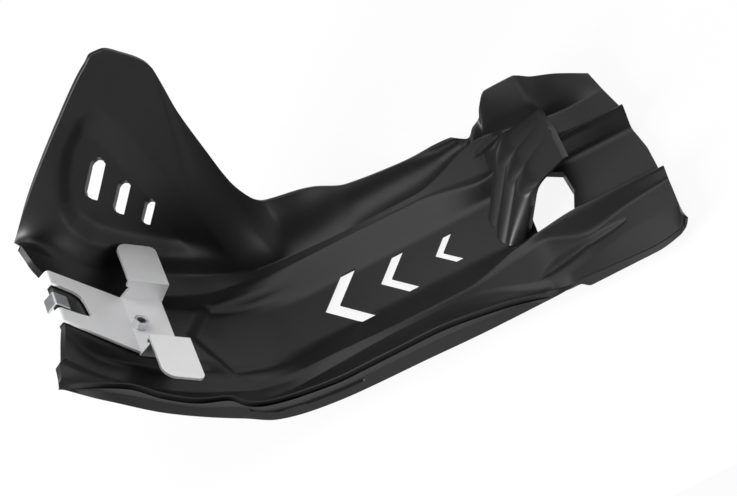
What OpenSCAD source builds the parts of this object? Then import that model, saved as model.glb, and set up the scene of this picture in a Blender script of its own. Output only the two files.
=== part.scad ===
// Motorcycle skid plate: one moulded shell with a tall side wing, a folded front bracket
// with its weld nut, a spring clip at the nose and one clamp bolt from beneath.
// Millimetres. X runs rearward, Y across, Z up. The nut's base on the bracket is the build origin.

/* [Shell] */
// Wall thickness of the moulding
wall = 4.5; // [3:0.5:6]
// Half width of the channel floor
floor_half = 24; // [20:1:28]
// Depth of the floor below the bracket's nut
floor_drop = 63.3; // [58:0.5:70]
// Half width of the plate at its rear corners
rear_half = 86; // [80:1:92]
// Height of the wing's peak above the bracket's nut
wing_peak = 157; // [130:1:180]
// Length of the plate behind the bracket
rear_reach = 358; // [340:1:375]

/* [Openings] */
// Half width of the first arrow-shaped drain hole
arrow_half = 24.8; // [20:0.2:26]
// Length along the plate of one arrow arm
arrow_arm = 11.5; // [8:0.5:13]
// Width of a wing slot
slot_w = 11; // [8:0.5:12]
// Height of the largest wing slot
slot_h = 42; // [34:1:46]
// Half width of the drain window
window_half = 31; // [26:1:32]

/* [Hood] */
// Height of the hood's roof above the floor on the middle line
hood_h = 34; // [30:1:38]
// How far each rib of the hood's front stands out
rib_depth = 5; // [3:0.5:6]

/* [Bracket] */
// Sheet thickness of the bracket
sheet = 2; // [1.5:0.1:2.5]
// Width of the bracket's cross strip
strip_w = 30; // [26:0.5:34]
// Height of the two side walls of the bracket
riser_h = 15.8; // [13:0.2:18]
// Half width of the bracket's base
base_half = 27.6; // [26:0.2:29]
// Length of each clamp tab
tab_l = 40.9; // [36:0.5:44]
// Half width of the fork
fork_half = 25.2; // [23:0.2:26]
// Length of the fork
fork_l = 64.3; // [58:0.5:66]

/* [Fasteners] */
// Nominal diameter of the clamp bolt's thread
bolt_d = 6; // [5:1:6]
// Width across flats of the weld nut
nut_af = 10; // [10:0.5:11]
// Height of the weld nut
nut_h = 5; // [4:0.5:6]
// Outer diameter of the washer
washer_d = 18; // [16:1:20]
// Radial clearance of the bolt in its holes
fit = 0.3; // [0.2:0.05:0.5]

/* [Pressings] */
// Depth of the leaf-shaped panel in the wing
leaf_d = 2.5; // [1:0.25:3.5]
// Depth of the arrow-nosed step in the floor
nose_d = 3; // [1:0.25:4]

/* [Hidden] */
$fn = 48;
pitch = 43.6;
fork_pitch = 60.9;
draw_tilt = 20;
slot_tilt = 30;
nut_x = -9;
bed = 0.2;
lip = 1.2;
zf = -floor_drop;
shift = [-149, -1.75, floor_drop + wall];
lead = (strip_w - 30) / 2;

// Feature lines of the upper face: [station, x, y, z]
line_a = [[0,-43,0,62.2],[1,-37,0,51.5],[2,-12,0,7.5],[3,11,0,-14.5],[4,32,0,-33],[5,47,0,-45],
  [6,75,0,-57.5],[7,107,0,-63.3],[10,245,0,-63.3],[12,292,0,-62.5],[14,362,0,-62]];
line_b = [[0,-43,27,62.2],[1,-37,27,51.5],[2,-12,27,7.5],[3,11,27,-14.5],[4,32,26,-34],[5,47,26,-45],
  [6,75,25,-57.5],[7,107,24,-63.3],[9,200,24,-63.3],[10,245,26,-63.3],
  [11,262,27,-63],[12,292,25,-62.5],[14,360,24,-62]];
line_c = [[0,-46,31,57],[1,-37,31,28],[2,-12,31,-4],[3,11,31,-26],[4,32,36,-40.5],[5,47,43,-48.5],
  [6,75,47,-53.5],[7,107,47.5,-54],[8,150,48.5,-55],[9,200,48,-55.5],[10,245,36,-54],
  [11,262,36,-50],[12,292,34,-47.5],[14,362,35.7,-47.8]];
line_d = [[0,-51,48,56],[1,-37,48,26],[2,-12,50,-6],[3,11,50,-27],[4,32,50,-41],[5,47,52,-48.5],
  [6,75,53,-53.8],[7,107,50.5,-54.3],[8,150,51,-55],[9,200,51,-55.5],[10,245,44,-55.5],
  [11,262,42,-54],[12,292,50,-59],[13,325,44,-57.5],[14,361,41,-56]];
line_e = [[0,-53.5,60,66],[1,-37,60,37],[2,-12,63,6],[3,11,64,-17],[4,32,65,-35],[5,47,64,-44.5],
  [6,75,60,-54],[7,107,57,-55],[8,150,55,-55],[9,200,55.5,-55],[10,245,74,-54.5],
  [11,262,78,-55.5],[12,292,72,-57],[13,325,66,-57],[14,357,66,-56]];
far_rim = [[0,-60,79,54],[1,-34,82,83],[2,9,86.5,124],[3,42,90,152],[3.4,50,90,157.5],[3.7,57,90,157],
  [4.3,68,90,147],[5,81,90,122],[5.5,81,88,92],[6,85,86,44],[6.5,89,85,10],
  [6.8,98,84,-15],[7,105,84,-22],[7.6,130,83,-27],[7.8,139,83,-30],[8.2,161,82,-41],[9,200,82,-46],
  [10,243,83,-49],[10.3,253,84,-56],[10.6,259,84.5,-49],[11,266,85,-44],[11.15,269,86,-36],
  [11.5,278,88,-27],[12.2,300,88,-26],[12.6,313,88,-34],[13.1,330,87.5,-41],[14,354,86,-54]];
near_rim = [[0,-57,80,70],[1,-37,81,57],[1.7,-19,82,43],[2.35,-4,82,21],[3.1,13,82,3],
  [4,32,82,-9],[4.6,41,82,-22],[5,50,82,-28],[6,75,82,-35],[7,107,82,-39],[8.4,166,82,-39],
  [9.3,216,83,-46],[10,247,85,-54],[11,262,87,-57],[11.3,270,88,-55],
  [13,325,89,-58],[13.7,346,87,-57],[14,352,85.5,-54]];
near_base = [[0,-58,83,68],[1,-37,86,42],[2,-12,86,10],[3,11,86,-13],[4,32,86,-31],[5,50,86,-46],
  [6,75,86,-54],[7,107,86,-58],[8,150,86,-59.5],[9,200,86.5,-61],[10,245,87.5,-60],
  [10.8,258,88.5,-58.5],
  [11.2,268,88.5,-58],[11.45,276,91,-62],[13,325,91,-62],[14,352,87,-58]];

// limited-slope cubic through a line's keys, so that flats stay flat
function seg(k, u, i = 0) = i >= len(k) - 2 || u < k[i + 1][0] ? i : seg(k, u, i + 1);
function slope(k, i, c) = i == 0 ? (k[1][c] - k[0][c]) / (k[1][0] - k[0][0])
  : i == len(k) - 1 ? (k[i][c] - k[i - 1][c]) / (k[i][0] - k[i - 1][0])
  : let (a = (k[i][c] - k[i - 1][c]) / (k[i][0] - k[i - 1][0]),
         b = (k[i + 1][c] - k[i][c]) / (k[i + 1][0] - k[i][0]))
    a * b <= 0 ? 0 : 2 * a * b / (a + b);
function at1(k, u, c) = let (i = seg(k, u), h = k[i + 1][0] - k[i][0], t = (u - k[i][0]) / h,
    m0 = slope(k, i, c) * h, m1 = slope(k, i + 1, c) * h)
  (2*t*t*t - 3*t*t + 1) * k[i][c] + (t*t*t - 2*t*t + t) * m0
  + (3*t*t - 2*t*t*t) * k[i + 1][c] + (t*t*t - t*t) * m1;

// the sizes at the top of the file stretch the lines: wing height, floor depth, reach and widths
function ahead(x) = lead * min(1, max(0, -x / 12));
function sx(x) = x < 320 ? x - ahead(x) * cos(pitch) : 320 + (x - 320) * (rear_reach - 320) / 42;
function sy(y, x) = x < 250 ? y : y * (1 + (rear_half / 86 - 1) * min(1, (x - 250) / 60));
function sz(z) = z > 0 ? z * (z > 60 ? 1 + (wing_peak / 157 - 1) * (z - 60) / 97 : 1)
  : z + (63.3 - floor_drop) * min(1, -z / 50);
function at(k, u, s = 1) = let (x = at1(k, u, 1))
  [sx(x), s * sy(at1(k, u, 2), x), sz(at1(k, u, 3)) + ahead(x) * sin(pitch)];
function edge(u, s) = let (p = at(line_b, u, s)) [p[0], p[1] * floor_half / 24, p[2]];
function lerp(a, b, t) = a + (b - a) * t;
function sag(t, s, m) = [0, s * 0.5, -0.85] * m * 4 * t * (1 - t);
function step01(t) = let (c = min(1, max(0, t))) c * c * (3 - 2 * c);

// One cross-section of the upper face, near side to far side
wing_cols = 8;
mids = [0.9, 0.6, 0.3];
function row_in(u) = let (
    fn = at(near_rim, u, -1), en = at(line_e, u, -1), ef = at(line_e, u, 1), ff = at(far_rim, u, 1),
    a = at(line_a, u), bn = edge(u, -1), bf = edge(u, 1),
    m = 5 * min(1, max(0, 10.4 - u) / 0.8))
  concat([fn, lerp(fn, en, 0.35) + sag(0.35, -1, m * 0.6), lerp(fn, en, 0.7) + sag(0.7, -1, m * 0.6), en],
    [lerp(en, at(line_d, u, -1), 0.5), at(line_d, u, -1), at(line_c, u, -1), bn],
    [for (t = mids) lerp(a, bn, t)], [a], [for (i = [2:-1:0]) lerp(a, bf, mids[i])],
    [bf, at(line_c, u, 1), at(line_d, u, 1),
      lerp(ef, at(line_d, u, 1), 0.5) + [-4.3, 0, -4] * max(0, 1 - u / 0.8), ef],
    [for (i = [1:wing_cols]) lerp(ef, ff, i / (wing_cols + 1)) + sag(i / (wing_cols + 1), 1, m)], [ff]);
NU = 70;
us = [for (i = [0:NU]) 14 * i / NU];
flat_top = [for (u = us) row_in(u)];
nc = len(flat_top[0]);

// vertex normals from neighbouring rows and columns
function un(v) = v / max(norm(v), 1e-6);
function nrm(i, j) = let (g = flat_top, i0 = max(0, i - 1), i1 = min(NU, i + 1),
    a = j < nc - 1 ? un(g[i][j + 1] - g[i][j]) : [0, 0, 0], b = j > 0 ? un(g[i][j] - g[i][j - 1]) : [0, 0, 0])
  un(cross(g[i1][j] - g[i0][j], a + b));
normals = [for (i = [0:NU]) [for (j = [0:nc - 1]) nrm(i, j)]];

// leaf-shaped panel pressed outward in the wing, and the arrow-nosed step in the channel floor
leaf = [[36, 131], [52, 69], [57, -10], [28, -27], [-22, 27], [-27, 50], [-17, 81], [2, 108]];
function inside(p, q) = min([for (i = [0:len(q) - 1]) let (a = q[i], b = q[(i + 1) % len(q)], d = un(b - a))
  d[1] * (p[0] - a[0]) - d[0] * (p[1] - a[1])]);
function leaf_depth(p) = leaf_d * step01(inside([p[0], p[2]], leaf) / 6);
nose = [[34, -38], [120, -38], [120, 38], [34, 38], [17, 0]];
function nose_depth(p) = nose_d * min(1, max(0, inside(p, nose) / 11)) * step01((112 - p[0]) / 45);
function press(p, j) = j >= nc - 1 - wing_cols ? leaf_depth(p) : nose_depth(p);
top = [for (i = [0:NU]) [for (j = [0:nc - 1]) flat_top[i][j] - normals[i][j] * press(flat_top[i][j], j)]];
under = [for (i = [0:NU]) [for (j = [0:nc - 1]) top[i][j] - normals[i][j] * wall]];
base = [for (u = us) at(near_base, u, -1)];
foot = [for (i = [0:NU]) let (b = base[i])
  lerp((b + under[i][0]) / 2, b + [0, wall, 0], step01((top[i][0][2] - b[2] - 6) / 8))];

module skin() {
  loop = [for (i = [0:NU]) concat(top[i], [for (j = [nc - 1:-1:0]) under[i][j]], [foot[i], base[i]])];
  n = len(loop[0]);
  sides = [for (i = [0:NU - 1]) for (j = [0:n - 1])
    let (a = i * n + j, b = i * n + (j + 1) % n, c = a + n, d = b + n) each [[a, b, c], [b, d, c]]];
  function cap(r, f) = let (o = r * n) concat(
    [for (j = [0:nc - 2]) let (a = o + j, b = a + 1, c = o + 2 * nc - 1 - j, d = c - 1)
      each (f ? [[a, c, b], [b, c, d]] : [[a, b, c], [b, d, c]])],
    let (a = o, b = o + 2 * nc - 1, c = b + 1, d = b + 2)
      f ? [[a, c, b], [a, d, c]] : [[a, b, c], [a, c, d]]);
  polyhedron(points = [for (r = loop) each r], faces = concat(sides, cap(0, true), cap(NU, false)),
    convexity = 10);
}

// Hood over the drain window: ribbed front wall, rounded shoulder, sloping roof, and a skirt down
// to the deck on the far side. Each rib line runs from a foot to a head to a tail.
rib_foot = [[252, -26], [242.4, -20], [242, -2.5], [243.4, 16], [252, 63]];
rib_head = [[272.8, -21], [270.2, 2.3], [270, 24.4], [271.7, 52.8], [254, 65]];
rib_tail = [[301, -5], [304.5, 36], [304.6, 52], [304.6, 63.4], [306, 79]];
ribs = len(rib_foot) - 1;
deck_z = zf + 7.8;
function roof_z(y) = zf + hood_h - 0.2 * y;
function along(q, v) = let (i = min(ribs - 1, floor(v))) lerp(q[i], q[i + 1], v - i);
function ripple(v) = v > ribs - 1 ? 0 : pow(sin(180 * (v - floor(v))), 0.6);
function hood_pt(v, k) = let (d = max(0, v - ribs + 1), pf = along(rib_foot, v), ph = along(rib_head, v),
    pt = along(rib_tail, v), f = [pf[0], pf[1], lerp(zf, deck_z, d) - 1 - d],
    h = [ph[0], ph[1], lerp(roof_z(ph[1]), deck_z - 1.2, step01(d))],
    r = [pt[0], pt[1], lerp(roof_z(pt[1]) - 1, deck_z - 1.6, step01(d))],
    s = lerp(f, h, 0.84), e = lerp(h, r, 0.28), rp = [-1, -0.25, 0.3] * rib_depth * ripple(v))
  k < 6 ? lerp(f, s, k / 5) + rp
  : k < 9 ? let (t = (k - 5) / 4) (1 - t) * (1 - t) * s + 2 * t * (1 - t) * h + t * t * e + rp * (1 - 0.4 * t)
  : lerp(e, r, (k - 9) / 3) + rp * 0.6 * (1 - (k - 9) / 3);
function inward(v) = [3.4, 2.5 * max(0, 1 - v / 1.5), -3] * (1 - 0.5 * max(0, v - ribs + 1));
module hood() {
  nv = ribs * 6;
  nk = 13;
  o = [for (i = [0:nv]) [for (k = [0:nk - 1]) hood_pt(i / 6, k)]];
  q = [for (i = [0:nv]) [for (k = [0:nk - 1]) hood_pt(i / 6, k) + inward(i / 6)]];
  n = 2 * nk;
  loop = [for (i = [0:nv]) concat(o[i], [for (k = [nk - 1:-1:0]) q[i][k]])];
  sides = [for (i = [0:nv - 1]) for (j = [0:n - 1])
    let (a = i * n + j, b = i * n + (j + 1) % n, c = a + n, d = b + n) each [[a, c, b], [b, c, d]]];
  function cap(r, f) = let (s = r * n)
    [for (j = [0:nk - 2]) let (a = s + j, b = a + 1, c = s + n - 1 - j, d = c - 1)
      each (f ? [[a, b, c], [b, d, c]] : [[a, c, b], [b, c, d]])];
  polyhedron(points = [for (r = loop) each r], faces = concat(sides, cap(0, true), cap(nv, false)),
    convexity = 8);
}

// Holes, cut along the mould's draw direction
module drawn(z, h) {
  multmatrix([[1, 0, tan(draw_tilt), 0], [0, 1, 0, 0], [0, 0, 1, 0], [0, 0, 0, 1]])
    translate([-z * tan(draw_tilt), 0, 0]) translate([0, 0, z - h / 2]) linear_extrude(h) children();
}
module arrow(tip, s) {
  w = arrow_half * s;
  d = 0.82 * w;
  a = arrow_arm * s;
  p = [[tip, 0], [tip + d, w], [tip + d + a, w], [tip + a, 0], [tip + d + a, -w], [tip + d, -w]];
  drawn(zf, 24) polygon(p);
  // relief from beneath leaves a thin lip round the hole
  drawn(zf - lip - wall / 2 - 1, wall + 2) offset(delta = 3.2) polygon(p);
}
module window() {
  w = window_half;
  drawn(zf, 14) polygon([[262, 1 - w], [289, 2 - w], [299, -4], [299, 16], [288, 24], [268, 24]]);
}
module slot(x, z, w, h) {
  translate([x, 0, z]) rotate([0, slot_tilt, 0]) translate([0, 104, 0]) rotate([90, 0, 0]) linear_extrude(34)
    polygon([[-w / 2, -0.21 * h], [-w / 2, 0.38 * h], [-0.4 * w, 0.45 * h], [-0.2 * w, h / 2],
      [0.1 * w, 0.48 * h], [w / 2, 0.33 * h], [w / 2, -h / 2], [0.15 * w, -0.46 * h], [-0.3 * w, -0.36 * h]]);
}

// Frames of the bracket
module on_strip() rotate([0, pitch, 0]) children();
module on_bolt() on_strip() translate([nut_x, 0, 0]) children();
module on_fork() on_strip() translate([-strip_w / 2, 0, 0]) rotate([0, fork_pitch - pitch, 0]) children();

notch = [[-80, 12.6], [-46, 12.2], [-42, 11.2], [-39, 9], [-37, 4], [-35.8, -3], [-35.5, -7.5],
  [-37, -9.6], [-42, -10.8], [-50, -11.8], [-80, -13.5]];
boss_r = washer_d / 2 + 1.5;
boss_top = sheet + bed;
boss_base = sheet + 0.8 + wall + 2;
// the whole moulding with its cuts
module moulding() {
  difference() {
    union() {
      skin();
      hood();
    }
    window();
    arrow(107.4, 1);
    arrow(150.5, 0.76);
    arrow(192.8, 0.56);
    slot(9.5, 67.5, slot_w, slot_h);
    slot(18.8, 44.5, slot_w * 0.85, slot_h * 0.81);
    slot(29.5, 26, slot_w * 0.68, slot_h * 0.62);
  }
}
module skid_plate() {
  color([0.07, 0.07, 0.07]) difference() {
    union() {
      moulding();
      on_bolt() translate([0, 0, -boss_base]) cylinder(r = boss_r, h = boss_base - boss_top);
    }
    on_bolt() translate([0, 0, -40]) cylinder(r = bolt_d / 2 + fit, h = 50);
  }
}

// Bracket: one folded sheet
function arc(c, r, a0, a1, n = 6) = [for (i = [0:n]) let (a = a0 + (a1 - a0) * i / n) c + r * [cos(a), sin(a)]];
module across(y0, y1) translate([0, y1, 0]) rotate([90, 0, 0]) linear_extrude(y1 - y0) children();
module tab(s) {
  l = base_half + tab_l;
  w = strip_w / 2;
  translate([0, 0, riser_h - sheet]) linear_extrude(sheet) scale([1, s])
    polygon(concat([[-w, base_half], [w, base_half]], arc([w - 5, l - 5], 5, 0, 90), arc([9 - w, l - 9], 9, 90, 180)));
}
module mount_bracket() {
  fold = fork_pitch - pitch;
  front = [-cos(fold), sin(fold)];
  up = [sin(fold), cos(fold)];
  hook_r = 3;
  hook_l = 7;
  bend = [-strip_w / 2, 0];
  c = bend + (fork_l - hook_r) * front - hook_r * up;
  tip = c + hook_r * front - hook_l * up;
  color([0.78, 0.79, 0.81]) difference() {
    on_strip() {
      across(-base_half - sheet, base_half + sheet)
        polygon(concat([[strip_w / 2, 0], bend], arc(c, hook_r, 90 - fold, 180 - fold), [tip, tip - sheet * front],
          arc(c, hook_r - sheet, 180 - fold, 90 - fold), [bend - sheet * [tan(fold / 2), 1], [strip_w / 2, -sheet]]));
      for (s = [-1, 1]) {
        translate([-strip_w / 2, s > 0 ? base_half : -base_half - sheet, -sheet])
          cube([strip_w, sheet, riser_h + sheet]);
        tab(s);
      }
    }
    on_fork() translate([0, 0, -20]) linear_extrude(30) {
      polygon(notch);
      for (s = [-1, 1])
        polygon([[-0.1, s * base_half], [-80, s * (base_half - (base_half - fork_half) * 80 / fork_l)],
          [-80, s * 40], [-0.1, s * 40]]);
    }
    on_bolt() translate([0, 0, -10]) cylinder(r = bolt_d / 2 + fit, h = 20);
  }
}

module bracket_nut() {
  color([0.7, 0.7, 0.72]) on_bolt() translate([0, 0, bed / 4]) difference() {
    cylinder(r = nut_af / 2 / cos(30), h = nut_h, $fn = 6);
    translate([0, 0, -1]) cylinder(r = bolt_d / 2 + 0.05, h = nut_h + 2);
  }
}
module bolt_washer() {
  color([0.6, 0.6, 0.62]) on_bolt() translate([0, 0, -boss_base - 0.05 - 1.6]) difference() {
    cylinder(r = washer_d / 2, h = 1.6);
    translate([0, 0, -1]) cylinder(r = bolt_d / 2 + fit, h = 4);
  }
}
module clamp_bolt() {
  color([0.5, 0.5, 0.52]) on_bolt() {
    z0 = -boss_base - 0.1 - 1.6;
    translate([0, 0, z0]) cylinder(r = bolt_d / 2 - 0.05, h = -z0 + 1.5);
    translate([0, 0, z0 - 4]) difference() {
      cylinder(r1 = bolt_d * 0.75, r2 = bolt_d * 0.9, h = 4);
      translate([0, 0, -1]) cylinder(r = bolt_d * 0.33, h = 3.5, $fn = 6);
    }
  }
}
module front_clip() {
  t = 1.2;
  top = -1.2;
  front = -64;
  c = [front + 2, top - 2];
  color([0.72, 0.73, 0.75]) on_fork() across(-8, 4.5)
    polygon(concat([[-51.5, top - 0.6], [-53, top]], arc(c, 2, 90, 180), [[front, top - 10], [front + t, top - 10]],
      arc(c, 2 - t, 180, 90), [[-53.3, top - t], [-51.5, top - t - 0.4]]));
}

translate(shift) skid_plate();
translate(shift) mount_bracket();
translate(shift) bracket_nut();
translate(shift) bolt_washer();
translate(shift) clamp_bolt();
translate(shift) front_clip();
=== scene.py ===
"""Looks of a motorcycle skid plate: a black moulded shell with a folded steel bracket at its front.

Lengths in the tables are millimetres from the build origin, which is the seat of the bracket's nut,
with X rearward, Y across and Z up. to_frame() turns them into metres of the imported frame.
"""

import math
import bmesh
import bpy
import numpy as np
from mathutils import Matrix


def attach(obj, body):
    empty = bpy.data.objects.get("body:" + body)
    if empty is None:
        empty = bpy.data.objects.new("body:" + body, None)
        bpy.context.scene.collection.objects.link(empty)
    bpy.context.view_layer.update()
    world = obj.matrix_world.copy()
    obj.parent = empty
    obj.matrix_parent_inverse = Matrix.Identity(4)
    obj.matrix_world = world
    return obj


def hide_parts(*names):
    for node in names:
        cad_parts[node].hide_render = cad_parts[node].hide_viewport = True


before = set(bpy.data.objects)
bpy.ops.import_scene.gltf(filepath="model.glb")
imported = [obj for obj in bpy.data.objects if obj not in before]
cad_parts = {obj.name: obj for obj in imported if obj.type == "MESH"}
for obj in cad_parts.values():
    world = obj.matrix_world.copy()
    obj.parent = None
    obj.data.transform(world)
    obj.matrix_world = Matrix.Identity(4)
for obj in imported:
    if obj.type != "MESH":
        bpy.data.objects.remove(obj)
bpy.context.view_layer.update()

ORIGIN = np.array([-149.0, -1.75, 67.8])
WALL = 4.5
RIM_R, RIM_STEPS = 1.1, 3
FLOOR_Z = -63.3
SMOOTH_BELOW = math.radians(38)
PHOTO_WIDTH = 737


def to_frame(points):
    """Build millimetres to frame metres: add the origin's place and divide by 1000."""
    return (np.asarray(points, float) + ORIGIN) / 1000


def smooth_step(t):
    """3t^2 - 2t^3 of t held to 0..1."""
    t = np.clip(t, 0, 1)
    return t * t * (3 - 2 * t)


def unit(v):
    """Vectors of length 1 along the last axis."""
    return v / np.maximum(np.linalg.norm(v, axis=-1, keepdims=True), 1e-9)


# Feature lines, as keys of station, x, y and z. Line A is the middle of the channel and E the foot of the
# walls. B to E are mirrored to the near side. NEAR_BASE is the lower edge of the near outer wall, and the
# near lines are written with y turned round.
LINE_A = [[0, -43, 0, 62.2], [1, -37, 0, 51.5], [2, -12, 0, 7.5], [3, 11, 0, -14.5], [4, 32, 0, -33],
          [5, 47, 0, -45], [6, 75, 0, -57.5], [7, 107, 0, -63.3], [10, 245, 0, -63.3],
          [12, 292, 0, -62.5], [14, 362, 0, -62]]
LINE_B = [[0, -43, 27, 62.2], [1, -37, 27, 51.5], [2, -12, 27, 7.5], [3, 11, 27, -14.5],
          [4, 32, 26, -34], [5, 47, 26, -45], [6, 75, 25, -57.5], [7, 107, 24, -63.3],
          [9, 200, 24, -63.3], [10, 245, 26, -63.3], [11, 262, 27, -63], [12, 292, 25, -62.5],
          [14, 360, 24, -62]]
LINE_C = [[0, -46, 31, 57], [1, -37, 31, 28], [2, -12, 31, -4], [3, 11, 31, -26], [4, 32, 36, -40.5],
          [5, 47, 43, -48.5], [6, 75, 47, -53.5], [7, 107, 47.5, -54], [8, 150, 48.5, -55],
          [9, 200, 48, -55.5], [10, 245, 36, -54], [11, 262, 36, -50], [12, 292, 34, -47.5],
          [14, 362, 35.7, -47.8]]
LINE_D = [[0, -51, 48, 56], [1, -37, 48, 26], [2, -12, 50, -6], [3, 11, 50, -27], [4, 32, 50, -41],
          [5, 47, 52, -48.5], [6, 75, 53, -53.8], [7, 107, 50.5, -54.3], [8, 150, 51, -55],
          [9, 200, 51, -55.5], [10, 245, 44, -55.5], [11, 262, 42, -54], [12, 292, 50, -59],
          [13, 325, 44, -57.5], [14, 361, 41, -56]]
LINE_E = [[0, -53.5, 60, 66], [1, -37, 60, 37], [2, -12, 63, 6], [3, 11, 64, -17], [4, 32, 65, -35],
          [5, 47, 64, -44.5], [6, 75, 60, -54], [7, 107, 57, -55], [8, 150, 55, -55],
          [9, 200, 55.5, -55], [10, 245, 74, -54.5], [11, 262, 78, -55.5], [12, 292, 72, -57],
          [13, 325, 66, -57], [14, 357, 66, -56]]
FAR_RIM = [[0, -60, 79, 54], [1, -34, 82, 83], [2, 9, 86.5, 124], [3, 42, 90, 152],
           [3.4, 50, 90, 157.5], [3.7, 57, 90, 157], [4.3, 68, 90, 147], [5, 81, 90, 122],
           [5.5, 81, 88, 92], [6, 85, 86, 44], [6.5, 89, 85, 10], [6.8, 98, 84, -15],
           [7, 105, 84, -22], [7.6, 130, 83, -27], [7.8, 139, 83, -30], [8.2, 161, 82, -41],
           [9, 200, 82, -46], [10, 243, 83, -49], [10.3, 253, 84, -56], [10.6, 259, 84.5, -49],
           [11, 266, 85, -44], [11.15, 269, 86, -36], [11.5, 278, 88, -27], [12.2, 300, 88, -26],
           [12.6, 313, 88, -34], [13.1, 330, 87.5, -41], [14, 354, 86, -54]]
NEAR_RIM = [[0, -57, 80, 70], [1, -37, 81, 57], [1.7, -19, 82, 43], [2.35, -4, 82, 21],
            [3.1, 13, 82, 3], [4, 32, 82, -9], [4.6, 41, 82, -22], [5, 50, 82, -28],
            [6, 75, 82, -35], [7, 107, 82, -39], [8.4, 166, 82, -39], [9.3, 216, 83, -46],
            [10, 247, 85, -54], [11, 262, 87, -57], [11.3, 270, 88, -55], [13, 325, 89, -58],
            [13.7, 345, 87, -57], [13.88, 350, 85, -55.5], [14, 353, 79.5, -54.5]]
NEAR_BASE = [[0, -58, 83, 68], [1, -37, 86, 42], [2, -12, 86, 10], [3, 11, 86, -13],
             [4, 32, 86, -31], [5, 50, 86, -46], [6, 75, 86, -54], [7, 107, 86, -58],
             [8, 150, 86, -59.5], [9, 200, 86.5, -61], [10, 245, 87.5, -60],
             [10.8, 258, 88.5, -58.5], [11.2, 268, 88.5, -58], [11.45, 276, 91, -62], [13, 325, 91, -62],
             [13.7, 345, 89, -60], [13.88, 350, 87, -59], [14, 353, 81, -58]]
STATION_X = [-50, -37, -12, 11, 32, 47, 75, 107, 150, 200, 245, 262, 292, 325, 358]
FLIP = np.array([1.0, -1.0, 1.0])
# The last 42 mm of the plate are drawn in by 4 mm.
TAIL_FROM, TAIL_SHORT = 320, 4 / 42


def line_at(keys, u):
    """A feature line at stations u: a cubic through its keys. The slope at a key is the harmonic mean
    of the two spans beside it, or 0 where the line turns, so that flats stay flat."""
    keys = np.array(keys, float)
    s, p = keys[:, 0], keys[:, 1:]
    span = np.diff(s)
    grade = np.diff(p, axis=0) / span[:, None]
    slope = np.zeros_like(p)
    slope[0], slope[-1] = grade[0], grade[-1]
    a, b = grade[:-1], grade[1:]
    slope[1:-1] = np.where(a * b > 0, 2 * a * b / np.where(a + b == 0, 1, a + b), 0)
    i = np.clip(np.searchsorted(s, u, side="right") - 1, 0, len(s) - 2)
    h = span[i][:, None]
    t = ((u - s[i]) / span[i])[:, None]
    line = ((2 * t**3 - 3 * t**2 + 1) * p[i] + (t**3 - 2 * t**2 + t) * h * slope[i]
            + (3 * t**2 - 2 * t**3) * p[i + 1] + (t**3 - t**2) * h * slope[i + 1])
    line[:, 0] -= np.maximum(line[:, 0] - TAIL_FROM, 0) * TAIL_SHORT
    return line


def strip(p, q, count, sag=0.0, side=1):
    """Straight lines from p to q at count steps, q left out. Each sags by 4t(1-t) times sag, down and
    outward, as a moulded panel does between its ribs."""
    t = (np.arange(count) / count)[None, :, None]
    bow = np.array([0, 0.5 * side, -0.85]) * 4 * t * (1 - t)
    depth = np.broadcast_to(np.asarray(sag, float), p.shape[:1])[:, None, None]
    return p[:, None] * (1 - t) + q[:, None] * t + bow * depth


def soften(grid, passes):
    """Rounds the creases that run along the plate: each inner column moves to a quarter, half, quarter
    mean of itself and its neighbours."""
    for _ in range(passes):
        grid = grid.copy()
        grid[:, 1:-1] = 0.25 * grid[:, :-2] + 0.5 * grid[:, 1:-1] + 0.25 * grid[:, 2:]
    return grid


def grid_normals(grid):
    """Unit normals: the cross product of the grid's steps along and across."""
    return unit(np.cross(np.gradient(grid, axis=0), np.gradient(grid, axis=1)))


def inside(x, y, chain):
    """How far a point lies to the right of every edge of a chain of points: the least of its distances."""
    a = np.array(chain, float)
    d = unit(np.diff(a, axis=0))
    return np.min([dy * (x - ax) - dx * (y - ay) for (ax, ay), (dx, dy) in zip(a, d)], axis=0)


# Outlines that run clockwise: the leaf of the wing as x and z, the floor's step as x and y.
LEAF_SPINE = [(35, 127), (44, 100), (50, 69), (56, 33), (60, -3), (64.5, -43)]
LEAF_FOOT = [(64.5, -43), (40, -26), (25, -14), (-3, 15.5), (-15.5, 31), (-23, 48), (-24, 58), (-23, 67),
             (-15, 85), (-1, 105), (17, 119), (35, 127)]
LEAF_DEPTH, LEAF_ROUND, LEAF_RAMP = 4.6, 15, 21
NOSE = [(34, -38), (17, 0), (34, 38), (120, 38), (120, -38), (34, -38)]
NOSE_DEPTH, NOSE_STEP, NOSE_END, NOSE_FADE = 4.4, 6.5, 104, 50
# Furrows of the rear deck: start, end, half width and depth.
FURROWS = [((249, -71), (292, -57), 6.5, 2.8), ((272, -60.5), (318, -56), 5.0, 2.0),
           ((250, 63.5), (281, 77.5), 5.5, 2.6), ((303, 75.5), (317, 71.5), 4.0, 1.6)]
# Upper and lower edge of the near outer wall's pocket, as heights over x.
POCKET_X = [38, 50, 75, 98, 112]
POCKET_TOP = [-26, -32.5, -39.5, -43, -43.5]
POCKET_LOW = [-29, -40.5, -47.5, -51, -52]
POCKET_DEPTH, POCKET_ROUND = 3.0, 1.5


def groove(p, start, end, half, depth):
    """A tapered furrow from start to end: its width and depth follow the sine of the way along, and its
    section is a smooth bowl."""
    a, b = np.array(start, float), np.array(end, float)
    along = b - a
    t = np.clip(((p[..., :2] - a) @ along) / (along @ along), 0, 1)
    away = np.linalg.norm(p[..., :2] - a - t[..., None] * along, axis=-1)
    swell = np.sqrt(np.sin(np.pi * np.clip(t, 0.02, 0.98)))
    return depth * swell * smooth_step(1 - away / (half * swell))


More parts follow.
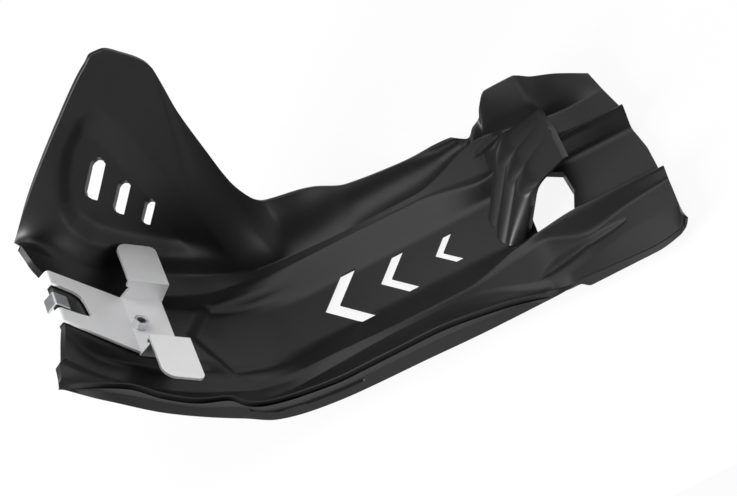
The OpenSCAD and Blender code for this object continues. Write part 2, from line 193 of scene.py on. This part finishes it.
def pressed(p, wing):
    """Depth of the pressings below the plain face. On the wing it is the leaf: a smooth step inward from
    its round foot, times a ramp from its spine. Elsewhere it is the arrow-nosed step of the floor, a ramp
    inward from its outline that fades rearward, and the deepest furrow of the deck."""
    x, y, z = p[..., 0], p[..., 1], p[..., 2]
    leaf = LEAF_DEPTH * smooth_step(inside(x, z, LEAF_FOOT) / LEAF_ROUND) \
        * np.clip(inside(x, z, LEAF_SPINE) / LEAF_RAMP, 0, 1)
    nose = NOSE_DEPTH * np.clip(inside(x, y, NOSE) / NOSE_STEP, 0, 1) * smooth_step((NOSE_END - x) / NOSE_FADE)
    furrows = [groove(p, *furrow) for furrow in FURROWS]
    return np.where(wing, leaf, nose + np.max(furrows, axis=0))


# Points of the plate's grid along it and across its strips. The under face has every third column of the
# upper one. SAG is how far the walls sag between their edges.
ROWS = 345
NEAR_COLS, WALL_COLS, EDGE_COLS, SIDE_COLS, MID_COLS, WING_COLS = 16, 18, 18, 7, 9, 58
UNDER_STEP = 3
SAG = 5


def plate_face(u):
    """The upper face: straight strips between the feature lines, near side to far side, softened
    across, then pressed in along its normals. The walls sag in front of station 10.4."""
    near, far = line_at(NEAR_RIM, u) * FLIP, line_at(FAR_RIM, u)
    a, b, c, d, e = (line_at(k, u) for k in (LINE_A, LINE_B, LINE_C, LINE_D, LINE_E))
    sag = SAG * np.clip((10.4 - u) / 0.8, 0, 1)
    parts = [strip(near, e * FLIP, NEAR_COLS, 0.6 * sag, -1), strip(e * FLIP, d * FLIP, EDGE_COLS),
             strip(d * FLIP, c * FLIP, SIDE_COLS), strip(c * FLIP, b * FLIP, SIDE_COLS),
             strip(b * FLIP, a, MID_COLS), strip(a, b, MID_COLS), strip(b, c, SIDE_COLS),
             strip(c, d, SIDE_COLS), strip(d, e, EDGE_COLS), strip(e, far, WING_COLS, sag), far[:, None]]
    flat = soften(np.concatenate(parts, axis=1), 1)
    normals = grid_normals(flat)
    wing = np.arange(flat.shape[1]) >= flat.shape[1] - 1 - WING_COLS
    return flat - normals * pressed(flat, wing[None, :])[..., None]


def outer_wall(u, rim):
    """The near side's outside wall, from its lower edge up to the rim, with a lens-shaped pocket that
    ends in a square step at both ends."""
    base = line_at(NEAR_BASE, u) * FLIP
    t = (np.arange(WALL_COLS) / WALL_COLS)[None, :, None]
    wall = base[:, None] * (1 - t) + rim[:, None] * t
    x, z = wall[..., 0], wall[..., 2]
    below = smooth_step((np.interp(x, POCKET_X, POCKET_TOP) - z) / POCKET_ROUND)
    above = smooth_step((z - np.interp(x, POCKET_X, POCKET_LOW)) / POCKET_ROUND)
    between = (x > POCKET_X[0]) & (x < POCKET_X[-1])
    wall[..., 1] += POCKET_DEPTH * between * below * above
    return wall


def near_foot(base, rim, under):
    """The near wall's inner lower edge: a wall's thickness inside the base, easing to halfway between the
    base and the under face's edge where the wall is less than 14 mm high."""
    tall = smooth_step((rim[:, 2] - base[:, 2] - 6) / 8)[:, None]
    return (base + under) / 2 * (1 - tall) + (base + [0, WALL, 0]) * tall


def rounded(edge, inner, normal):
    """Columns of a quarter round of radius r from the face down over an edge: a distance r(1 - sin) in from
    the edge and a depth r(1 - cos) below the face."""
    turn = np.linspace(0, np.pi / 2, RIM_STEPS + 1)[None, :, None]
    inward = unit(inner - edge)[:, None]
    return edge[:, None] + inward * RIM_R * (1 - np.sin(turn)) - normal[:, None] * RIM_R * (1 - np.cos(turn))


def plate_loops():
    """One closed section of the plate for each row: outside wall, near rim, upper face, far rim, under
    face and inner foot. The under face is the upper one moved in by the wall along its normals. Returns
    the sections and the number of columns of the upper face."""
    x = np.linspace(STATION_X[0], STATION_X[-1], ROWS)
    u = np.interp(x, STATION_X, np.arange(len(STATION_X)))
    face = plate_face(u)
    normals = grid_normals(face)
    under = face - normals * WALL
    wall = outer_wall(u, face[:, 0])
    foot = near_foot(wall[:, 0], face[:, 0], under[:, 0])
    near_top = rounded(face[:, 0], face[:, 2], normals[:, 0])[:, ::-1]
    far_top = rounded(face[:, -1], face[:, -3], normals[:, -1])
    far_low = rounded(under[:, -1], under[:, -4], -normals[:, -1])[:, ::-1]
    back = under[:, ::-UNDER_STEP][:, 1:]
    loops = [wall, near_top, face[:, 1:-1], far_top, far_low, back, foot[:, None]]
    return np.concatenate(loops, axis=1), face.shape[1]


def tube_faces(rows, cols):
    """Quads of a grid whose columns close on themselves."""
    i, j = np.meshgrid(np.arange(rows - 1), np.arange(cols), indexing="ij")
    a, b = i * cols + j, i * cols + (j + 1) % cols
    return np.stack([a, b, b + cols, a + cols], axis=-1).reshape(-1, 4)


def smooth(mesh):
    """Smooth shading, with edges sharp above the angle."""
    mesh.shade_smooth()
    mesh.set_sharp_from_angle(angle=SMOOTH_BELOW)


def mesh_object(name, points, faces, material):
    """A mesh object in the frame, its faces turned outwards."""
    mesh = bpy.data.meshes.new(name)
    mesh.from_pydata(to_frame(points).tolist(), [], [list(map(int, f)) for f in faces])
    mesh.update()
    obj = bpy.data.objects.new(name, mesh)
    bpy.context.scene.collection.objects.link(obj)
    mesh.materials.append(material)
    face_outwards(mesh)
    smooth(mesh)
    return obj


def face_outwards(mesh):
    """Merges points that coincide and turns the faces outwards."""
    bm = bmesh.new()
    bm.from_mesh(mesh)
    bmesh.ops.remove_doubles(bm, verts=bm.verts, dist=1e-6)
    bmesh.ops.recalc_face_normals(bm, faces=bm.faces)
    bm.to_mesh(mesh)
    bm.free()


def plate_mesh():
    """The plate's closed shell: the sections joined along the plate, and both ends filled between the
    upper and the under face, one polygon for each step of the under face."""
    loops, columns = plate_loops()
    rows, cols = loops.shape[:2]
    faces = tube_faces(rows, cols).tolist()
    steps = (columns - 1) // UNDER_STEP
    for start in (0, (rows - 1) * cols):
        foot = start + cols - 1
        low = foot - 1 - np.arange(steps)
        top = start + WALL_COLS + RIM_STEPS + UNDER_STEP * np.arange(steps)
        faces.append([*range(start, top[1] + 1), low[1], low[0], foot])
        faces += [[*range(top[k], top[k + 1] + 1), low[k + 1], low[k]] for k in range(1, steps - 1)]
        faces.append([*range(top[-1], low[-1] + 1)])
    return loops.reshape(-1, 3), faces


# Rib lines of the hood, each from a foot to a head to a tail, as x and y. The fifth is the skirt's edge.
RIB_FOOT = [(252, -26), (242.4, -20), (242, -2.5), (243.4, 16), (252, 63)]
RIB_HEAD = [(272.8, -21), (270.2, 2.3), (270, 24.4), (271.7, 52.8), (254, 65)]
RIB_TAIL = [(301, -5), (304.5, 36), (304.6, 52), (304.6, 63.4), (304, 74)]
RIBS = 4
RIB_BULGE = np.array([-5.5, -1.4, 1.9])
DECK_Z = FLOOR_Z + 7.8
ROOF_Z = FLOOR_Z + 34
ROOF_FALL = 0.2


def rib_line(keys, v, high, low):
    """Points of a rib line at v: its keys joined by straight lines, at the roof's height, which falls
    evenly towards the far side, and down to the deck across the skirt."""
    x, y = (np.interp(v, range(RIBS + 1), column) for column in zip(*keys))
    t = smooth_step(v - RIBS + 1)
    return np.stack([x, y, high(y) * (1 - t) + low * t], axis=-1)


def hood_face(across=26, up=15, over=12, back=16):
    """The hood's outer skin: a front wall from foot to shoulder, a quadratic curve over the shoulder,
    and the roof. Each rib bulges by about the root of the sine across it, dying out on the roof. The
    numbers are the points across a rib and along the three parts."""
    v = np.linspace(0, RIBS, RIBS * across + 1)
    foot = rib_line(RIB_FOOT, v, lambda y: FLOOR_Z - 1 + 0 * y, DECK_Z - 2)
    head = rib_line(RIB_HEAD, v, lambda y: ROOF_Z - ROOF_FALL * y, DECK_Z - 1.2)
    tail = rib_line(RIB_TAIL, v, lambda y: ROOF_Z - ROOF_FALL * y - 1, DECK_Z - 1.6)
    low, high = foot + (head - foot) * 0.84, head + (tail - head) * 0.28
    bulge = np.where(v < RIBS - 1, np.abs(np.sin(np.pi * v)) ** 0.55, 0)
    rib = bulge[:, None, None] * RIB_BULGE
    t = np.linspace(0, 1, up, endpoint=False)[None, :, None]
    wall = foot[:, None] * (1 - t) + low[:, None] * t + rib
    t = np.linspace(0, 1, over, endpoint=False)[None, :, None]
    turn = (1 - t) ** 2 * low[:, None] + 2 * t * (1 - t) * head[:, None] + t**2 * high[:, None] \
        + rib * (1 - 0.7 * t)
    t = np.linspace(0, 1, back)[None, :, None]
    roof = high[:, None] * (1 - t) + tail[:, None] * t + rib * 0.3 * (1 - t) ** 2
    return np.concatenate([wall, turn, roof], axis=1)


def hood_back(face):
    """The hood's inner skin: the outer one moved in and down, and aside where the first rib turns along
    the plate; the move shrinks to half across the skirt."""
    v = np.linspace(0, RIBS, len(face))
    move = np.stack([3.4 + 0 * v, 2.5 * np.maximum(0, 1 - v / 1.5), -3 + 0 * v], axis=-1)
    return face + (move * (1 - 0.5 * np.maximum(0, v - RIBS + 1))[:, None])[:, None]


def closed_sheet(face, back):
    """Points and quads of a sheet between two faces of one grid, closed round its border."""
    rows, cols = face.shape[:2]
    points = np.concatenate([face.reshape(-1, 3), back.reshape(-1, 3)])
    i, j = np.meshgrid(np.arange(rows - 1), np.arange(cols - 1), indexing="ij")
    a = (i * cols + j).ravel()
    quads = np.stack([a, a + 1, a + cols + 1, a + cols], axis=-1)
    n = rows * cols
    ring = np.concatenate([np.arange(cols), np.arange(1, rows) * cols + cols - 1,
                           (rows - 1) * cols + np.arange(cols - 2, -1, -1),
                           np.arange(rows - 2, 0, -1) * cols])
    nxt = np.roll(ring, -1)
    rim = np.stack([ring, ring + n, nxt + n, nxt], axis=-1)
    return points, np.concatenate([quads, quads[:, ::-1] + n, rim])


# Holes through the floor lean rearward by DRAW for each mm of height, and the wing's slots fall by
# SLOT_FALL for each mm across. Slots are x, z, width, height and y, arrows the place of the tip and a size.
DRAW = math.tan(math.radians(20))
SLOT_TURN = math.radians(30)
SLOT_FALL = 1.8
SLOTS = [(9.5, 67.5, 11, 42, 84), (18.8, 44.5, 9.4, 34, 81), (29.5, 26, 7.5, 26, 77.5)]
ARROWS = [(107.4, 1), (150.5, 0.76), (192.8, 0.56)]
LIP, RELIEF, RELIEF_DEEP = 1.2, 3.2, 6.5
WINDOW = [(262, -30), (289, -29), (299, -4), (299, 16), (288, 24), (268, 24)]
STRIP_TURN = math.radians(43.6)
NUT_X = -9


def prism(low, high):
    """Points and faces of a prism between two rings of corners."""
    n = len(low)
    k = np.arange(n)
    after = (k + 1) % n
    sides = np.stack([k, after, after + n, k + n], axis=-1)
    return np.concatenate([low, high]), [k[::-1].tolist(), (k + n).tolist(), *sides.tolist()]


def drawn(outline, z, height):
    """A hole along the mould's draw direction, which leans rearward as it rises from the height z."""
    x, y = np.array(outline, float).T
    low, high = (np.stack([x + rise * DRAW, y, 0 * x + z + rise], axis=-1) for rise in (-height / 2, height / 2))
    return prism(low, high)


def arrow(tip, size):
    """The outline of an arrow-shaped drain hole, clockwise."""
    w, d, a = 24.8 * size, 0.82 * 24.8 * size, 11.5 * size
    return [(tip, 0), (tip + d, w), (tip + d + a, w), (tip + a, 0), (tip + d + a, -w), (tip + d, -w)]


def grown(outline, by):
    """A clockwise outline with every side moved outward: each corner goes along the sum of its two sides'
    normals, divided by one plus their product."""
    p = np.array(outline, float)
    side = unit(np.roll(p, -1, axis=0) - p)
    out = np.stack([-side[:, 1], side[:, 0]], axis=-1)
    last = np.roll(out, 1, axis=0)
    return p + by * (out + last) / (1 + np.sum(out * last, axis=-1, keepdims=True))


def wing_slot(x, z, w, h, y):
    """A leaning slot of width w and height h through the wing's face at y, drawn back and steeply down."""
    a, b = np.array([(-w / 2, -0.21 * h), (-w / 2, 0.38 * h), (-0.4 * w, 0.45 * h), (-0.2 * w, h / 2),
                     (0.1 * w, 0.48 * h), (w / 2, 0.33 * h), (w / 2, -h / 2), (0.15 * w, -0.46 * h),
                     (-0.3 * w, -0.36 * h)]).T
    c, s = math.cos(SLOT_TURN), math.sin(SLOT_TURN)
    near, far = (np.stack([x + c * a + s * b, 0 * a + y + away, z - s * a + c * b - away * SLOT_FALL], axis=-1)
                 for away in (-14, 16))
    return prism(near, far)


def on_bolt(radius, corners, low, high):
    """A round bar along the bolt's axis, which is tilted with the bracket's strip, between two heights."""
    turn = np.arange(corners) * 2 * np.pi / corners
    x, y = radius * np.cos(turn) + NUT_X, radius * np.sin(turn)
    c, s = math.cos(STRIP_TURN), math.sin(STRIP_TURN)
    return prism(*(np.stack([c * x + s * z, y, c * z - s * x], axis=-1) for z in (low, high)))


def holes():
    """Every hole of the plate: the window, the bolt's bore, three arrows and three wing slots."""
    return [drawn(WINDOW, FLOOR_Z, 14), on_bolt(3.3, 48, -40, 10),
            *(drawn(arrow(*place), FLOOR_Z, 24) for place in ARROWS), *(wing_slot(*slot) for slot in SLOTS)]


def reliefs():
    """The wider cuts beneath the arrows, which leave a thin lip round each."""
    return [drawn(grown(arrow(*place), RELIEF), FLOOR_Z - LIP - RELIEF_DEEP / 2, RELIEF_DEEP) for place in ARROWS]


def joined(shapes):
    """Several point and face lists as one."""
    starts = np.cumsum([0] + [len(points) for points, _ in shapes])
    faces = [[k + start for k in face] for start, (_, some) in zip(starts, shapes) for face in some]
    return np.concatenate([points for points, _ in shapes]), faces


def boolean(target, tool, kind):
    """Cuts or joins a tool into a target for good, and removes the tool."""
    step = target.modifiers.new(kind, "BOOLEAN")
    step.operation = kind
    step.object = tool
    step.solver = "EXACT"
    done = bpy.data.meshes.new_from_object(target.evaluated_get(bpy.context.evaluated_depsgraph_get()))
    target.modifiers.clear()
    old = target.data
    target.data = done
    bpy.data.meshes.remove(old)
    bpy.data.objects.remove(tool)


def skid_plate(material):
    """The moulded shell: all holes cut into the plate, then the hood and the boss that the bolt pulls
    against joined to it."""
    plate = mesh_object("moulded_plate", *plate_mesh(), material)
    cover = hood_face()
    hood = mesh_object("hood", *closed_sheet(cover, hood_back(cover)), material)
    boss = mesh_object("boss", *on_bolt(10.5, 64, -9.3, -2.2), material)
    boolean(plate, mesh_object("holes", *joined(holes()), material), "DIFFERENCE")
    boolean(plate, mesh_object("reliefs", *joined(reliefs()), material), "DIFFERENCE")
    boolean(plate, hood, "UNION")
    boolean(plate, boss, "UNION")
    smooth(plate.data)
    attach(plate, "root")
    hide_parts("skid_plate")
    return plate


def node_link(tree, node, output, target, socket):
    """Joins one node's output to another's input."""
    tree.links.new(node.outputs[output], target.inputs[socket])


def grain_group():
    """Fine surface grain: two noises on Object coordinates, one coarse for blotches and one fine for the
    texture of the skin. Outputs the coarse one as Blotch, and a quarter of it plus the fine one as Height."""
    tree = bpy.data.node_groups.new("surface_grain", "ShaderNodeTree")
    face = tree.interface
    for name, value in (("Fine", 1800.0), ("Coarse", 30.0)):
        face.new_socket(name, in_out="INPUT", socket_type="NodeSocketFloat").default_value = value
    face.new_socket("Blotch", in_out="OUTPUT", socket_type="NodeSocketFloat")
    face.new_socket("Height", in_out="OUTPUT", socket_type="NodeSocketFloat")
    enter, leave = tree.nodes.new("NodeGroupInput"), tree.nodes.new("NodeGroupOutput")
    place = tree.nodes.new("ShaderNodeTexCoord")
    fine, coarse = tree.nodes.new("ShaderNodeTexNoise"), tree.nodes.new("ShaderNodeTexNoise")
    for noise, scale, detail in ((fine, "Fine", 3), (coarse, "Coarse", 5)):
        noise.inputs["Detail"].default_value = detail
        node_link(tree, place, "Object", noise, "Vector")
        node_link(tree, enter, scale, noise, "Scale")
    height = tree.nodes.new("ShaderNodeMath")
    height.operation = "MULTIPLY_ADD"
    height.inputs[1].default_value = 0.25
    node_link(tree, coarse, "Fac", height, 0)
    node_link(tree, fine, "Fac", height, 2)
    node_link(tree, coarse, "Fac", leave, "Blotch")
    node_link(tree, height, "Value", leave, "Height")
    return tree


def finish(name, group, tones, gloss, metal, fine, coarse, bump):
    """A material with grain: its colour and roughness run between two values with the blotches, and the
    grain's height bumps its normal."""
    made = bpy.data.materials.new(name)
    made.use_nodes = True
    tree = made.node_tree
    shader = tree.nodes["Principled BSDF"]
    shader.inputs["Metallic"].default_value = metal
    grain = tree.nodes.new("ShaderNodeGroup")
    grain.node_tree = group
    grain.inputs["Fine"].default_value = fine
    grain.inputs["Coarse"].default_value = coarse
    tint = tree.nodes.new("ShaderNodeMix")
    tint.data_type = "RGBA"
    tint.inputs["A"].default_value = (*tones[0], 1)
    tint.inputs["B"].default_value = (*tones[1], 1)
    node_link(tree, grain, "Blotch", tint, "Factor")
    tree.links.new(tint.outputs["Result"], shader.inputs["Base Color"])
    rough = tree.nodes.new("ShaderNodeMapRange")
    rough.inputs["To Min"].default_value, rough.inputs["To Max"].default_value = gloss
    node_link(tree, grain, "Blotch", rough, "Value")
    node_link(tree, rough, "Result", shader, "Roughness")
    relief = tree.nodes.new("ShaderNodeBump")
    relief.inputs["Strength"].default_value = bump
    relief.inputs["Distance"].default_value = 0.0001
    node_link(tree, grain, "Height", relief, "Height")
    node_link(tree, relief, "Normal", shader, "Normal")
    return made


def satin_black(group):
    """Satin black moulded plastic."""
    made = finish("satin_black_plastic", group, ((0.010,) * 3, (0.014,) * 3), (0.34, 0.42), 0.0, 1800, 25, 0.2)
    made.node_tree.nodes["Principled BSDF"].inputs["Specular IOR Level"].default_value = 0.27
    return made


def satin_steel(group):
    """Bead-blasted, zinc-plated sheet steel."""
    return finish("satin_steel_sheet", group, ((0.84, 0.84, 0.85), (0.90, 0.90, 0.91)), (0.42, 0.55), 0.35,
                  2600, 60, 0.25)


def bright_zinc(group):
    """Zinc plating on the fasteners."""
    return finish("zinc_plating", group, ((0.62, 0.63, 0.65), (0.72, 0.73, 0.75)), (0.28, 0.40), 1.0,
                  3200, 120, 0.15)


def black_oxide(group):
    """Black oxide on the clamp bolt."""
    return finish("black_oxide", group, ((0.02, 0.02, 0.022), (0.04, 0.04, 0.042)), (0.35, 0.5), 0.6,
                  2400, 90, 0.15)


def dress(node, material):
    """Gives a CAD node its finish and softens its edges, its own mesh left as it is."""
    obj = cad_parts[node]
    obj.data.materials.clear()
    obj.data.materials.append(material)
    weld = obj.modifiers.new("weld", "WELD")
    weld.merge_threshold = 1e-6
    ease = obj.modifiers.new("eased_edges", "BEVEL")
    ease.width = 0.0004
    ease.segments = 2
    ease.limit_method = "ANGLE"
    ease.angle_limit = math.radians(35)


def white_where_seen(tree, plain, white, share, output):
    """Shows a share of the white shader to camera, glossy and transmission rays, and otherwise the plain
    one."""
    path = tree.nodes.new("ShaderNodeLightPath")
    either, rays, part = (tree.nodes.new("ShaderNodeMath") for _ in range(3))
    either.operation, rays.operation, part.operation = "MAXIMUM", "MAXIMUM", "MULTIPLY"
    node_link(tree, path, "Is Camera Ray", either, 0)
    node_link(tree, path, "Is Glossy Ray", either, 1)
    node_link(tree, either, "Value", rays, 0)
    node_link(tree, path, "Is Transmission Ray", rays, 1)
    node_link(tree, rays, "Value", part, 0)
    part.inputs[1].default_value = share
    mix = tree.nodes.new("ShaderNodeMixShader")
    node_link(tree, part, "Value", mix, 0)
    node_link(tree, plain, 0, mix, 1)
    node_link(tree, white, 0, mix, 2)
    node_link(tree, mix, 0, output, "Surface")


def studio_world():
    """Plain grey light from all round, shown as white to the camera and in reflections."""
    world = bpy.data.worlds.new("studio")
    bpy.context.scene.world = world
    world.use_nodes = True
    tree = world.node_tree
    plain, white = tree.nodes["Background"], tree.nodes.new("ShaderNodeBackground")
    for light, strength in ((plain, 0.55), (white, 1.0)):
        light.inputs["Color"].default_value = (1, 1, 1, 1)
        light.inputs["Strength"].default_value = strength
    white_where_seen(tree, plain, white, 1.0, tree.nodes["World Output"])


def flat_card(name, wide, tall, z=0.0):
    """A level rectangle about the origin, part of the stage."""
    mesh = bpy.data.meshes.new(name)
    w, t = wide / 2, tall / 2
    mesh.from_pydata([(-w, -t, z), (w, -t, z), (w, t, z), (-w, t, z)], [], [(0, 1, 2, 3)])
    obj = bpy.data.objects.new(name, mesh)
    bpy.context.scene.collection.objects.link(obj)
    made = bpy.data.materials.new(name)
    made.use_nodes = True
    mesh.materials.append(made)
    return obj, made.node_tree


def floor():
    """A pale floor just under the object: matt white that shows as near white, with the shadow kept."""
    tree = flat_card("floor", 6.0, 6.0, -0.0003)[1]
    shader = tree.nodes["Principled BSDF"]
    shader.inputs["Base Color"].default_value = (0.9, 0.9, 0.9, 1)
    shader.inputs["Roughness"].default_value = 1.0
    shader.inputs["Specular IOR Level"].default_value = 0.0
    glow = tree.nodes.new("ShaderNodeEmission")
    glow.inputs["Strength"].default_value = 1.0
    white_where_seen(tree, shader, glow, 0.9, tree.nodes["Material Output"])


def facing(place, target):
    """A placement at place with its local -Z towards target."""
    aim = unit(np.array(place, float) - np.array(target, float))
    side = unit(np.cross((0, 0, 1), aim))
    turn = np.eye(4)
    turn[:3, 0], turn[:3, 1], turn[:3, 2], turn[:3, 3] = side, np.cross(aim, side), aim, place
    return Matrix(turn.tolist())


def lamp(name, place, target, size, power):
    """A soft area lamp at place, facing target."""
    data = bpy.data.lights.new(name, "AREA")
    data.size = size
    data.energy = power
    obj = bpy.data.objects.new(name, data)
    bpy.context.scene.collection.objects.link(obj)
    obj.matrix_world = facing(place, target)


def dark_card(name, place, target, wide, tall):
    """A matt black card at place, facing target, that shows only in reflections and keeps light off."""
    obj, tree = flat_card(name, wide, tall)
    shader = tree.nodes["Principled BSDF"]
    shader.inputs["Base Color"].default_value = (0.01, 0.01, 0.01, 1)
    shader.inputs["Specular IOR Level"].default_value = 0.0
    obj.matrix_world = facing(place, target)
    obj.visible_camera = False
    return obj


CAMERA_AT = [164.29, -1117.55, 1074.67]
CAMERA_RIGHT = [0.8917, -0.3137, -0.3264]
CAMERA_UP = [0.4527, 0.6279, 0.6331]
FOCAL_PIXELS = 2300
FILM_WIDTH = 36


def camera():
    """The camera at the photograph's angle, 1.6 m away with a long lens."""
    right = unit(np.array(CAMERA_RIGHT))
    up = unit(np.array(CAMERA_UP) - right * (np.array(CAMERA_UP) @ right))
    turn = np.eye(4)
    turn[:3, 0], turn[:3, 1], turn[:3, 2] = right, up, np.cross(right, up)
    turn[:3, 3] = to_frame(CAMERA_AT)
    data = bpy.data.cameras.new("photo_camera")
    data.sensor_width = FILM_WIDTH
    data.lens = FOCAL_PIXELS * FILM_WIDTH / PHOTO_WIDTH
    obj = bpy.data.objects.new("photo_camera", data)
    bpy.context.scene.collection.objects.link(obj)
    obj.matrix_world = Matrix(turn.tolist())
    bpy.context.scene.camera = obj


bpy.context.scene.view_settings.view_transform = "Standard"
grain = grain_group()
black, steel, zinc = satin_black(grain), satin_steel(grain), bright_zinc(grain)
skid_plate(black)
dress("mount_bracket", steel)
for fastener in ("bracket_nut", "bolt_washer", "front_clip"):
    dress(fastener, zinc)
dress("clamp_bolt", black_oxide(grain))
studio_world()
floor()
lamp("top", (-0.1, 0.4, 1.5), (0, 0, 0.05), 1.2, 9)
lamp("low", (0.3, -1.0, 0.2), (0, 0, 0.0), 0.3, 2)
lamp("left", (-1.5, -0.8, 0.7), (-0.15, 0, 0.1), 0.7, 50)
dark_card("front_card", (0.01, -1.61, 1.35), (0, 0, 0.05), 2.9, 2.9)
dark_card("far_card", (-0.6, 1.3, 0.45), (-0.6, 0, 0.1), 1.9, 1.4)
low_card = dark_card("low_card", (-0.1, -0.7, 0.004), (-0.1, -0.69, 1), 1.2, 1.1)
low_card.visible_shadow = False
camera()
